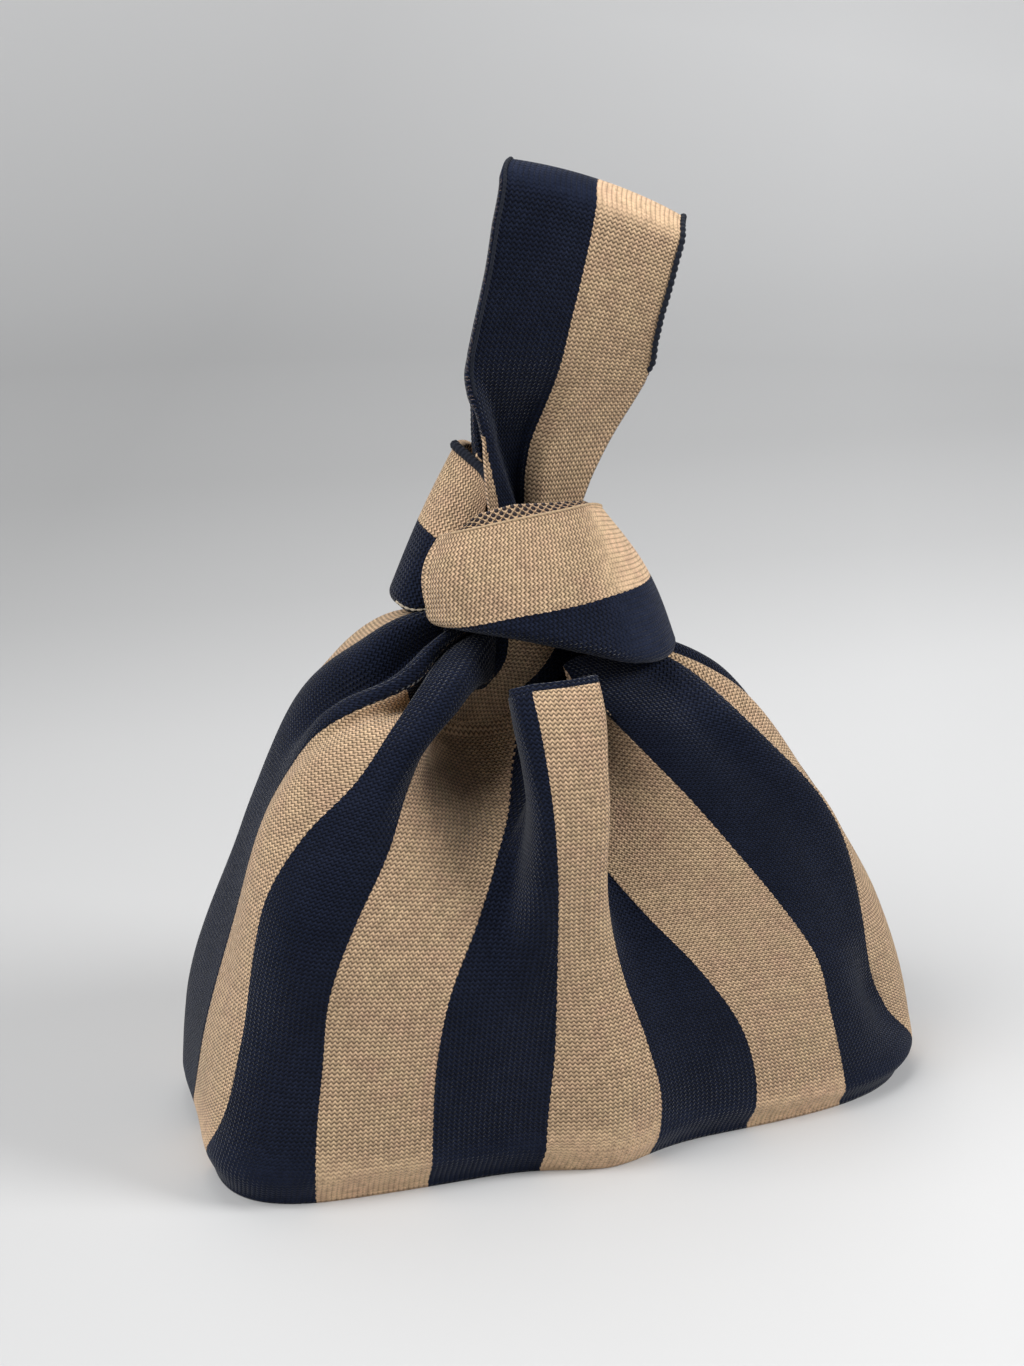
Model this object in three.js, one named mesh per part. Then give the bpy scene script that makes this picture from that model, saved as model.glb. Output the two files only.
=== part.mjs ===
// A knitted knot bag: a soft striped body on a boxed bottom, with a long handle drawn up through a short one.
// Millimetres, +Z up, front towards -Y, origin on the floor under the middle of the bag.
import * as THREE from 'three';

// Knitted fabric
const FABRIC = 2.2;
const STRIPES_AROUND = 18;
const STRIPES_PER_PANEL = STRIPES_AROUND / 2;
const STRIPES_PER_STRAP = 2;
const STRIPE_OFFSET = -0.17;
const GAP = 0.3;
const PANEL_COLUMNS = 54;
const PANEL_ROWS = 14;
const BASE_CORNERS = 72;
const LOOP_ROWS = 44;
const FRONT_EDGING_COLUMNS = [-10, 4];
const BACK_EDGING_COLUMNS = [-12, 12];

// Footprint and bottom fold
const BASE_WIDTH = 198;
const BASE_DEPTH = 98;
const BASE_SHIFT = 5;
const BASE_SKEW = 0.06;
const FOOTPRINT_SQUARENESS = { front: 4.4, right: 2.8, back: 3, left: 4.4 };
const BOTTOM_TUCK = 6;
const BOTTOM_TUCK_REACH = 0.09;

// Body: the ring of cloth that enters the knot, and how each side bends up to it
const ENTRY_WIDTH = 46;
const ENTRY_DEPTH = 32;
const ENTRY_CENTRE = new THREE.Vector2(-2, 0);
const ENTRY_HEIGHT = { front: 125, right: 118, back: 126, left: 132 };
const LOWER_RISE = { front: 58, right: 36, back: 55, left: 61 };
const SHOULDER_HEIGHT = { front: 112, right: 113, back: 114, left: 147 };
const SHOULDER_INSET = { front: 0.3, right: 0.45, back: 0.35, left: 0.43 };
const LOWER_BULGE = { front: 3, right: -1, back: 4, left: 0 };

// Mouth: how far the neckline dips below the knot entry, as a share of the cloth's rise
const MOUTH_DIP = 0.1;
const MOUTH_SQUARENESS = 6;
const MOUTH_EDGING = { from: 0.01, to: 0.036 };

// Folds: centre and spread in stripes from the front centre, depth outwards, and where each starts and is full
const PEAK = { at: -0.2, spread: 0.85, steepness: 4, depth: 27, widen: 16, lift: 8, from: 0.15, full: 0.88 };
const PEAK_FADE = 0.94;
const FOLDS = [
  { at: -1.7, spread: 0.7, depth: -8, from: 0.25, full: 0.75 },
  { at: -3.0, spread: 0.6, depth: 4, from: 0.3, full: 0.7 },
  { at: -4.2, spread: 0.5, depth: -9, from: 0.35, full: 0.75 },
  { at: -5.4, spread: 0.5, depth: -6, from: 0.4, full: 0.8 },
  { at: 1.35, spread: 0.7, depth: -15, from: 0.25, full: 0.8 },
  { at: 3.2, spread: 0.8, depth: 4, from: 0.3, full: 0.7 },
  { at: 4.4, spread: 0.5, depth: -7, from: 0.4, full: 0.8 },
  { at: 7.4, spread: 0.7, depth: -8, from: 0.3, full: 0.8 },
  { at: 9.0, spread: 0.8, depth: 10, from: 0.3, full: 0.85 },
  { at: 10.6, spread: 0.7, depth: -8, from: 0.3, full: 0.8 },
];
const FOLD_FADE = { from: 0.76, to: 0.93 };

// Gathers: how far the knot draws the cloth sideways, in stripes, round a centre stripe
const GATHERS = [
  { at: -3.0, spread: 1.9, shift: 1.0, from: 0.15, full: 0.85 },
  { at: -0.2, spread: 0.8, shift: -0.5, from: 0.15, full: 0.85 },
  { at: 1.9, spread: 1.5, shift: -1.2, from: 0.08, full: 0.62 },
];

// Seams
const SEAM_WIDTH = 7;
const SEAM_THICKNESS = 1.6;
const SEAM_FROM = 0.12;
const SEAM_TO = 0.72;

// Long handle: legs through the knot, then a leaning loop on its gathered end
const HANDLE_HINGE = new THREE.Vector3(-1.5, -1, 178);
const GATHER_WIDTH = 32;
const GATHER_RADIUS = 4.6;
const GATHER_SEAT_DROP = 3.8;
const LEG_INSET = 0.35;
const LEG_RISE = 9;
const LEG_WAIST = { share: 0.25, drop: 18 };
const LEG_TOP_DEPTH = 6.2;
const LOOP_WIDTH = 45;
const LOOP_SPREAD_HEIGHT = 20;
const LOOP_HEIGHT = 60.5;
const LOOP_LEAN = 0.255;
const LOOP_SKEW = 0.28;
const LOOP_TOP_SLOPE = 8;
const LOOP_TOP_DROOP = 2;
const LOOP_HALF_DEPTH = 9;
const LOOP_ARCH_RADIUS = 7;
const HANDLE_EDGING = 1.6;
const JOIN_WIDTH = 5;
const JOIN_THICKNESS = 1.4;
const JOIN_SHARE = 0.94;
const JOIN_AT = 0.57;

// Short handle: a conical band that laps over its own end at the left front
const BAND_LOWER = { width: 69, depth: 48, x: -1, y: -2, height: 130, rightDrop: 7, frontDrop: 2 };
const BAND_UPPER = { width: 36, depth: 33, x: -4, y: -3.5, height: 168, rightDrop: 4, frontDrop: 4 };
const BAND_BULGE = 3;
const BAND_START = -0.18;
const BAND_LAP = 0.1;
const BAND_SQUARENESS = 2.5;
const BAND_LAP_INSET = 6;
const BAND_EDGING = 3;
const BAND_EDGING_SPAN = [0.02, 0.33];
const BAND_JOIN = 1.8;
const BAND_JOIN_SPAN = [0.72, 0.88];

const NAVY = 0x1b2130;
const BEIGE = 0xb0957a;
const SPECKLE = 0x6d6156;

const smooth = THREE.MathUtils.smoothstep;
const lerp = THREE.MathUtils.lerp;

// A superellipse: turn 0 is the front, a quarter turn the right, half a turn the back
function superellipse(turn, halfWidth, halfDepth, squareness) {
  const across = Math.sin(turn * 2 * Math.PI);
  const forward = Math.cos(turn * 2 * Math.PI);
  const reach = (Math.abs(across) ** squareness + Math.abs(forward) ** squareness) ** (-1 / squareness);
  return new THREE.Vector2(halfWidth * across * reach, -halfDepth * forward * reach);
}

// A value that is given for the four sides, blended round the bag
function around(sides, turn) {
  const angle = turn * 2 * Math.PI;
  const frontBack = Math.cos(angle) ** 2 * (Math.cos(angle) > 0 ? sides.front : sides.back);
  const leftRight = Math.sin(angle) ** 2 * (Math.sin(angle) > 0 ? sides.right : sides.left);
  return frontBack + leftRight;
}

// The footprint, squarest at the left front corner, run by its own length so that stripes come out even
class Footprint extends THREE.Curve {
  constructor() {
    super();
    this.arcLengthDivisions = 900;
  }

  getPoint(t, target = new THREE.Vector3()) {
    const squareness = around(FOOTPRINT_SQUARENESS, t);
    const point = superellipse(t, BASE_WIDTH / 2, BASE_DEPTH / 2, squareness);
    return target.set(point.x + BASE_SHIFT, point.y + BASE_SKEW * point.x, 0);
  }
}

const footprint = new Footprint();
const STRIPE = footprint.getLength() / STRIPES_AROUND;
const ENTRY_STRIPE = Math.PI * (ENTRY_WIDTH + ENTRY_DEPTH) / 2 / STRIPES_AROUND;
const turnOf = (stripe) => THREE.MathUtils.euclideanModulo((stripe + STRIPE_OFFSET) / STRIPES_AROUND, 1);

// Outward direction on the floor at a stripe
function outward(turn) {
  const along = footprint.getTangentAt(turn);
  return new THREE.Vector3(along.y, -along.x, 0);
}

// How strongly a fold or gather acts at a stripe, from 0 far away to 1 at its centre
function near(stripe, { at, spread, steepness = 2 }) {
  return Math.exp(-(Math.abs(stripesBetween(at, stripe) / spread) ** steepness));
}

function stripesBetween(from, to) {
  const half = STRIPES_AROUND / 2;
  return THREE.MathUtils.euclideanModulo(to - from + half, STRIPES_AROUND) - half;
}

// The outer face of the body: a stripe position round the bag and the share of the rise from floor to knot
function body(stripe, rise) {
  let drawn = 0;
  for (const gather of GATHERS) {
    drawn += gather.shift * near(stripe, gather) * smooth(rise, gather.from, gather.full);
  }
  const turn = turnOf(stripe + drawn);
  const foot = footprint.getPointAt(turn);
  const out = outward(turn);
  const ring = superellipse(turn, ENTRY_WIDTH / 2, ENTRY_DEPTH / 2, 2);
  const entry = new THREE.Vector3(ring.x + ENTRY_CENTRE.x, ring.y + ENTRY_CENTRE.y, around(ENTRY_HEIGHT, turn));
  const lower = foot.clone().addScaledVector(out, around(LOWER_BULGE, turn));
  lower.z = around(LOWER_RISE, turn);
  const shoulder = foot.clone().lerp(entry, around(SHOULDER_INSET, turn));
  shoulder.z = around(SHOULDER_HEIGHT, turn);
  const point = new THREE.CubicBezierCurve3(foot, lower, shoulder, entry).getPoint(rise);
  const tuck = 1 - smooth(rise, 0, BOTTOM_TUCK_REACH);
  let push = -BOTTOM_TUCK * tuck;
  const peak = near(stripe, PEAK) * smooth(rise, PEAK.from, PEAK.full) * (1 - smooth(rise, PEAK_FADE, 1));
  push += PEAK.depth * peak;
  for (const fold of FOLDS) {
    const grown = smooth(rise, fold.from, fold.full) * (1 - smooth(rise, FOLD_FADE.from, FOLD_FADE.to));
    push += fold.depth * near(stripe, fold) * grown;
  }
  point.addScaledVector(footprint.getTangentAt(turn), PEAK.widen * stripesBetween(PEAK.at, stripe) * peak);
  point.z += PEAK.lift * peak;
  return point.addScaledVector(out, push);
}

// Unit normal of a surface, out of the side that its two directions turn anticlockwise on
function normalAt(surface, u, v) {
  const step = 1e-3;
  const alongU = surface(u + step, v).sub(surface(u - step, v));
  const alongV = surface(u, v + step).sub(surface(u, v - step));
  return alongU.cross(alongV).normalize();
}

// A sheet of cloth: a thin segmented box bent onto a surface, its outer face on the surface
function sheet(surface, columns, rows, thickness = FABRIC) {
  const geometry = new THREE.BoxGeometry(1, 1, 1, columns, rows, 1);
  const position = geometry.attributes.position;
  for (let i = 0; i < position.count; i += 1) {
    const u = position.getX(i) + 0.5;
    const v = position.getY(i) + 0.5;
    const depth = (0.5 - position.getZ(i)) * thickness;
    const point = surface(u, v).addScaledVector(normalAt(surface, u, v), -depth);
    position.setXYZ(i, point.x, point.y, point.z);
  }
  geometry.computeVertexNormals();
  return geometry;
}

// The same surface, moved in from the outer face
const inside = (surface, distance) => (u, v) => surface(u, v).addScaledVector(normalAt(surface, u, v), -distance);

// Share of the rise at which the cloth of a panel ends, counted from that panel's own centre stripe
const STRAP_INNER_EDGE = STRIPES_PER_PANEL / 2 - STRIPES_PER_STRAP;
function panelTop(stripe) {
  const across = Math.min(Math.abs(stripe) / STRAP_INNER_EDGE, 1);
  return 1 - MOUTH_DIP * (1 - across ** MOUTH_SQUARENESS);
}

// A panel from side seam to side seam, with its centre at a stripe
function panelSurface(centre) {
  return (u, v) => {
    const half = STRIPES_PER_PANEL / 2 - GAP / lerp(STRIPE, ENTRY_STRIPE, v);
    const stripe = lerp(-half, half, u);
    return body(centre + stripe, v * panelTop(stripe));
  };
}

// The knitted edge that carries a neckline on above its panel, between two of the panel's columns
function mouthEdging(centre, [first, last]) {
  const column = (STRIPES_PER_PANEL - 2 * GAP / ENTRY_STRIPE) / PANEL_COLUMNS;
  const surface = (u, v) => {
    const stripe = lerp(first, last, u) * column;
    return body(centre + stripe, panelTop(stripe) + lerp(MOUTH_EDGING.from, MOUTH_EDGING.to, v));
  };
  return sheet(surface, last - first, 1);
}

// A linked side seam with its allowance, inside the line where two panels meet
function sideSeam(centre) {
  const half = SEAM_WIDTH / 2 / STRIPE;
  const line = (u, v) => body(centre + lerp(-half, half, u), lerp(SEAM_FROM, SEAM_TO, v));
  return inside(line, FABRIC + GAP);
}

// The bottom: a flat plate of cloth inside the tucked lower edges of the panels
function basePlate() {
  const inset = BOTTOM_TUCK + FABRIC + GAP;
  const points = [];
  for (let i = 0; i < BASE_CORNERS; i += 1) {
    const turn = i / BASE_CORNERS;
    const point = footprint.getPointAt(turn).addScaledVector(outward(turn), -inset);
    points.push(new THREE.Vector2(point.x, point.y));
  }
  return new THREE.ExtrudeGeometry(new THREE.Shape(points), { depth: FABRIC, bevelEnabled: false });
}

// One leg of the long handle, from the knot entry up to the seat of the loop
function handleLeg(centre) {
  const half = STRIPES_PER_PANEL / 2 - LEG_INSET;
  const facing = centre === 0 ? -1 : 1;
  return (u, v) => {
    const stripe = lerp(-half, half, u);
    const foot = body(centre + stripe, 1);
    const along = foot.clone().sub(body(centre + stripe, 0.97)).normalize();
    foot.addScaledVector(along, GAP * 3);
    const across = -facing * lerp(-0.5, 0.5, u) * GATHER_WIDTH;
    const seat = new THREE.Vector3(across, facing * LEG_TOP_DEPTH, -GATHER_SEAT_DROP).add(HANDLE_HINGE);
    const low = foot.clone().addScaledVector(along, LEG_RISE);
    const high = seat.clone().sub(new THREE.Vector3(across * (1 - LEG_WAIST.share), 0, LEG_WAIST.drop));
    return new THREE.CubicBezierCurve3(foot, low, high, seat).getPoint(v);
  };
}

// The loop seen from its open side: gathered round end below, legs that belly out, arch on top
const loopProfile = new THREE.SplineCurve([
  [0, -GATHER_RADIUS],
  [-GATHER_RADIUS * Math.SQRT1_2, -GATHER_RADIUS * Math.SQRT1_2],
  [-GATHER_RADIUS, 0],
  [-LOOP_HALF_DEPTH * 0.72, LOOP_HEIGHT * 0.2],
  [-LOOP_HALF_DEPTH, LOOP_HEIGHT * 0.5],
  [-LOOP_ARCH_RADIUS, LOOP_HEIGHT - LOOP_ARCH_RADIUS],
  [-LOOP_ARCH_RADIUS * Math.SQRT1_2, LOOP_HEIGHT - LOOP_ARCH_RADIUS * (1 - Math.SQRT1_2)],
  [0, LOOP_HEIGHT],
  [LOOP_ARCH_RADIUS * Math.SQRT1_2, LOOP_HEIGHT - LOOP_ARCH_RADIUS * (1 - Math.SQRT1_2)],
  [LOOP_ARCH_RADIUS, LOOP_HEIGHT - LOOP_ARCH_RADIUS],
  [LOOP_HALF_DEPTH, LOOP_HEIGHT * 0.5],
  [LOOP_HALF_DEPTH * 0.72, LOOP_HEIGHT * 0.2],
  [GATHER_RADIUS, 0],
  [GATHER_RADIUS * Math.SQRT1_2, -GATHER_RADIUS * Math.SQRT1_2],
  [0, -GATHER_RADIUS],
].map(([y, z]) => new THREE.Vector2(y, z)));

// The loop's outer face about its hinge: across runs from -1 at the left edge to 1 at the right
function loopPoint(across, along) {
  const profile = loopProfile.getPoint(along);
  const top = LOOP_HEIGHT - LOOP_TOP_SLOPE * across - LOOP_TOP_DROOP * across ** 2;
  const height = profile.y > 0 ? profile.y * (top / LOOP_HEIGHT) : profile.y;
  const half = lerp(GATHER_WIDTH, LOOP_WIDTH, smooth(height, 0, LOOP_SPREAD_HEIGHT)) / 2;
  const lean = LOOP_LEAN * Math.max(height, 0);
  return new THREE.Vector3(lean + across * half + LOOP_SKEW * profile.x, profile.x, height);
}

// A closed belt of cloth: a ring with a flat section, bent onto a surface that closes on itself
function belt(surface, columns, rows, thickness = FABRIC) {
  const section = [];
  for (let i = 0; i <= columns; i += 1) {
    section.push(new THREE.Vector2(2, i / columns));
  }
  for (let i = columns; i >= 0; i -= 1) {
    section.push(new THREE.Vector2(1, i / columns));
  }
  section.push(section[0].clone());
  const geometry = new THREE.LatheGeometry(section, rows);
  const position = geometry.attributes.position;
  for (let i = 0; i < position.count; i += 1) {
    const x = position.getX(i);
    const z = position.getZ(i);
    const along = THREE.MathUtils.euclideanModulo(Math.atan2(x, z) / (2 * Math.PI), 1);
    const depth = (Math.hypot(x, z) - 1) * thickness;
    const across = position.getY(i);
    const point = surface(across, along).addScaledVector(beltNormal(surface, across, along), -depth);
    position.setXYZ(i, point.x, point.y, point.z);
  }
  geometry.computeVertexNormals();
  return geometry;
}

function beltNormal(surface, across, along) {
  const step = 1e-3;
  const wrap = (value) => THREE.MathUtils.euclideanModulo(value, 1);
  const alongBelt = surface(across, wrap(along + step)).sub(surface(across, wrap(along - step)));
  const acrossBelt = surface(Math.min(across + step, 1), along).sub(surface(Math.max(across - step, 0), along));
  return acrossBelt.cross(alongBelt).normalize();
}

// The short handle's band: turn 0 is the front, as on the body
function bandEdge(edge, turn, inset) {
  const ring = superellipse(turn, edge.width / 2 - inset, edge.depth / 2 - inset, BAND_SQUARENESS);
  const angle = turn * 2 * Math.PI;
  const height = edge.height - edge.rightDrop * Math.sin(angle) - edge.frontDrop * Math.cos(angle);
  return new THREE.Vector3(ring.x + edge.x, ring.y + edge.y, height);
}

function bandPoint(along, across) {
  const turn = BAND_START + along * (1 + BAND_LAP);
  const inset = BAND_LAP_INSET * smooth(along, 1 - 2 * BAND_LAP, 1);
  const point = bandEdge(BAND_LOWER, turn, inset).lerp(bandEdge(BAND_UPPER, turn, inset), across);
  const out = superellipse(turn, 1, 1, 2).multiplyScalar(BAND_BULGE * Math.sin(Math.PI * across));
  return point.add(new THREE.Vector3(out.x, out.y, 0));
}

// The loop's edges carry a narrow knitted edging, here as a strip past the left or the right edge
function loopEdging(which) {
  const inner = 1 + 2 * GAP / (LOOP_WIDTH / 2);
  const outer = inner + HANDLE_EDGING / (LOOP_WIDTH / 2);
  return (u, v) => loopPoint(which > 0 ? lerp(inner, outer, u) : lerp(-outer, -inner, u), v);
}

// The linked seam that closes the loop, on its inner face just behind the top
function loopJoin() {
  const reach = JOIN_WIDTH / loopProfile.getLength() / 2;
  const line = (u, v) => loopPoint(lerp(-JOIN_SHARE, JOIN_SHARE, u), JOIN_AT + lerp(-reach, reach, v));
  return inside(line, FABRIC + GAP);
}

// A strip that carries the band on past its upper edge (rise above 0) or its lower edge (below 0)
function bandRim(from, to, rise) {
  const edge = rise > 0 ? 1 : 0;
  return (u, v) => {
    const along = lerp(from, to, u);
    const point = bandPoint(along, edge);
    const away = point.clone().sub(bandPoint(along, edge + (rise > 0 ? -0.05 : 0.05))).normalize();
    const across = rise > 0 ? v : 1 - v;
    return point.addScaledVector(away, GAP + across * Math.abs(rise));
  };
}

function named(name, geometry, color) {
  const material = new THREE.MeshStandardMaterial({ color, roughness: 0.95, metalness: 0 });
  const mesh = new THREE.Mesh(geometry, material);
  mesh.name = name;
  return mesh;
}

const bag = new THREE.Group();
const backCentre = STRIPES_AROUND / 2;
const seamStripe = STRIPES_PER_PANEL / 2;
bag.add(named('front_panel', sheet(panelSurface(0), PANEL_COLUMNS, PANEL_ROWS), BEIGE));
bag.add(named('back_panel', sheet(panelSurface(backCentre), PANEL_COLUMNS, PANEL_ROWS), NAVY));
bag.add(named('base_panel', basePlate(), NAVY));
bag.add(named('front_mouth_edging', mouthEdging(0, FRONT_EDGING_COLUMNS), NAVY));
bag.add(named('back_mouth_edging', mouthEdging(backCentre, BACK_EDGING_COLUMNS), NAVY));
bag.add(named('left_side_seam', sheet(sideSeam(-seamStripe), 2, 14, SEAM_THICKNESS), BEIGE));
bag.add(named('right_side_seam', sheet(sideSeam(seamStripe), 2, 14, SEAM_THICKNESS), BEIGE));
bag.add(named('long_handle_front_leg', sheet(handleLeg(0), 12, 8), NAVY));
bag.add(named('long_handle_back_leg', sheet(handleLeg(backCentre), 12, 8), NAVY));
bag.add(named('short_handle_band', sheet(bandPoint, 44, 5), BEIGE));

const [edgingFrom, edgingTo] = BAND_EDGING_SPAN;
const [joinFrom, joinTo] = BAND_JOIN_SPAN;
bag.add(named('short_handle_edging', sheet(bandRim(edgingFrom, edgingTo, BAND_EDGING), 16, 1), SPECKLE));
bag.add(named('short_handle_join', sheet(bandRim(joinFrom, joinTo, -BAND_JOIN), 8, 1), BEIGE));

const longHandle = new THREE.Group();
longHandle.position.copy(HANDLE_HINGE);
longHandle.add(named('long_handle_loop', belt((u, v) => loopPoint(2 * u - 1, v), 6, LOOP_ROWS), NAVY));
longHandle.add(named('long_handle_edging_left', belt(loopEdging(-1), 1, LOOP_ROWS), NAVY));
longHandle.add(named('long_handle_edging_right', belt(loopEdging(1), 1, LOOP_ROWS), NAVY));
longHandle.add(named('long_handle_join', sheet(loopJoin(), 6, 2, JOIN_THICKNESS), NAVY));
bag.add(longHandle);

export default bag;
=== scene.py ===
"""A knitted knot bag: striped cloth gathered into a knot, two handles, knit finishes and a plain studio."""

import math

import bmesh
import bpy
import numpy as np
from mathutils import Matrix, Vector


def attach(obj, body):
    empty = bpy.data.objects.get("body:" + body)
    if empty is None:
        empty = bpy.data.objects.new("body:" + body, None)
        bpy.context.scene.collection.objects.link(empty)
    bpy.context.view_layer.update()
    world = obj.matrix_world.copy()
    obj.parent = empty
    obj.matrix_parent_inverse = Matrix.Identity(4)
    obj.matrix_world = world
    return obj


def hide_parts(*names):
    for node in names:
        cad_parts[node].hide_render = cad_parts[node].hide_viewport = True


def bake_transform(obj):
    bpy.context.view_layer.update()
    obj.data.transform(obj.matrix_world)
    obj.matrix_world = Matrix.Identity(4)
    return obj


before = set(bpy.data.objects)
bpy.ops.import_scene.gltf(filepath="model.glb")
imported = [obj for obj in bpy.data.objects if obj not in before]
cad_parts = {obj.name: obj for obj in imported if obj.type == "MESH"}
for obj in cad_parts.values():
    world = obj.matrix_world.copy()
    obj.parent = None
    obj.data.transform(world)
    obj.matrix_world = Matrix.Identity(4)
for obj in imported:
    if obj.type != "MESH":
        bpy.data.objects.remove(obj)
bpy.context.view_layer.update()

# Knit, in millimetres
MM = 0.001
FABRIC = 2.2
WALE = 1.3
COURSE = 1.12
STRIPES_AROUND = 18
FRONT_CENTRE, RIGHT_SEAM_AT, BACK_CENTRE, LEFT_SEAM_AT = 0, 4.5, 9, -4.5
STRIPE_OFFSET = -0.17
COLUMNS_PER_STRIPE = 20

# Body: footprint, knot entry and how each side bends up, given as front, right, back, left
BASE_WIDTH, BASE_DEPTH, BASE_SHIFT, BASE_SKEW = 198, 98, 5, 0.06
SQUARENESS = (4.4, 2.8, 3.0, 4.4)
BOTTOM_TUCK, BOTTOM_TUCK_REACH = 4, 0.055
ENTRY_WIDTH, ENTRY_DEPTH, ENTRY_X, ENTRY_Y = 46, 32, -2, 0
ENTRY_HEIGHT = (125, 118, 126, 132)
LOWER_RISE = (58, 36, 55, 61)
SHOULDER_HEIGHT = (112, 113, 114, 147)
SHOULDER_INSET = (0.3, 0.45, 0.35, 0.43)
LOWER_BULGE = (3, -1, 4, 0)
MOUTH_DIP, MOUTH_SQUARENESS, STRAP_INNER_EDGE = 0.1, 6, 2.5
FRONT_TILT = 0.03
# Where the front neckline drops beside the pleat: stripe, spread and depth
DIP_STEEPNESS = 4
FRONT_DIPS = [(-1.85, 0.8, 0.1), (0.85, 0.36, 0.05), (1.7, 0.7, 0.12)]

# Pleat at the front. Its spans are shares of the rise from floor to knot, from start to full.
PEAK_AT, PEAK_SPREAD, PEAK_DEPTH, PEAK_LIFT = -0.2, 0.76, 27, 8
PEAK_STEEPNESS, PEAK_STEEPENING, PEAK_STEEPENING_SPAN = 4, 4, (0.3, 0.8)
PEAK_SPAN, PEAK_CLOSING = (0.15, 0.88), (0.97, 1.03)
PEAK_WIDEN_LEFT, PEAK_WIDEN_RIGHT = 17, 10
PEAK_LEAN, PEAK_LEAN_SPAN = np.array([2.1, 7, -2.6]), (0.28, 0.8)
# Folds: stripe, spread, depth, where they start and where they are full
FOLD_FADE = (0.76, 0.93)
FOLDS = [
    (-1.7, 0.7, -8, 0.25, 0.75),
    (-3.0, 0.6, 4, 0.3, 0.7),
    (1.35, 0.7, -15, 0.25, 0.8),
    (3.2, 0.8, 4, 0.3, 0.7),
    (7.4, 0.7, -8, 0.3, 0.8),
    (9.0, 0.8, 10, 0.3, 0.85),
    (10.6, 0.7, -8, 0.3, 0.8),
]
# Creases, square to the cloth: stripe, spread, depth, where they start, are full, start to fade and are gone
CREASES = [
    (-5.0, 1.2, -5, 0.15, 0.4, 0.7, 0.95),
    (-4.62, 0.2, 4.5, 0.5, 0.72, 1.05, 1.1),
    (-4.9, 0.14, -6, 0.52, 0.75, 1.05, 1.1),
    (-5.25, 0.35, 4, 0.45, 0.75, 1.0, 1.05),
    (-4.0, 0.34, -10, 0.68, 0.84, 1.1, 1.2),
    (-4.0, 0.4, 3, 0.25, 0.5, 0.6, 0.75),
    (-3.0, 0.45, 5, 0.6, 0.85, 1.05, 1.1),
    (-1.95, 0.5, -19, 0.5, 0.82, 1.1, 1.2),
    (-1.6, 0.3, -9, 0.42, 0.7, 1.1, 1.2),
    (2.0, 0.5, -8, 0.72, 0.9, 1.1, 1.2),
    (-3.1, 0.8, 3, -0.2, -0.1, 0.05, 0.2),
    (-2.9, 0.8, 3, 0.22, 0.34, 0.38, 0.52),
    (3.5, 0.22, 5, 0.28, 0.6, 0.95, 1.05),
    (4.0, 0.35, -4, 0.35, 0.6, 0.9, 1.0),
    (3.35, 0.35, -5, 0.06, 0.16, 0.2, 0.34),
    (4.4, 0.25, 4, 0.55, 0.8, 1.0, 1.05),
    (4.75, 0.18, -5, 0.55, 0.8, 1.0, 1.05),
    (5.2, 0.3, 4, 0.55, 0.8, 1.0, 1.05),
    (0.1, 0.55, 6, -0.2, -0.1, 0.12, 0.4),
]
# How far each stripe edge is drawn along the body, in stripes, from floor to knot in tenths of the rise
DRIFT_FROM = -7.5
DRIFT = [
    (0, 0, 0, 0, 0, 0, 0, 0, 0.05, 0.1, 0.1),
    (0, 0, 0, 0, 0, 0, 0.05, 0.1, 0.3, 0.5, 0.5),
    (0, 0, 0, 0, 0, 0.05, 0.15, 0.6, 1.3, 1.6, 1.7),
    (-0.1, 0.2, 0.35, 0.32, 0.2, 0.3, 0.75, 1.38, 1.975, 2.0, 2.0),
    (-0.35, 0.12, 0.22, 0.25, 0.25, 0.45, 0.8, 0.95, 1.02, 1.02, 1.02),
    (0, 0, 0.02, 0.02, 0.15, 0.35, 0.45, 0.65, 0.92, 1.18, 1.2),
    (0, 0, 0.02, 0.12, 0.35, 0.57, 0.76, 0.75, 0.62, 0.48, 0.45),
    (0, 0.02, 0.08, 0.1, 0.1, 0.08, 0.02, -0.08, -0.22, -0.4, -0.4),
    (0, 0.05, -0.08, -0.28, -0.4, -0.48, -0.52, -0.6, -0.62, -0.68, -0.7),
    (0, 0.02, -0.12, -0.48, -0.95, -1.32, -1.4, -1.42, -1.42, -1.42, -1.42),
    (0, -0.08, -0.15, -0.2, -0.48, -0.82, -1.15, -1.5, -1.82, -2.0, -2.0),
    (0.4, 0.1, -0.25, -0.45, -0.42, -0.42, -0.55, -0.75, -0.8, -0.6, -0.5),
    (0.1, 0, 0, -0.05, -0.08, -0.1, -0.12, -0.15, -0.15, -0.1, -0.1),
    (0,) * 11,
]

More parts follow.
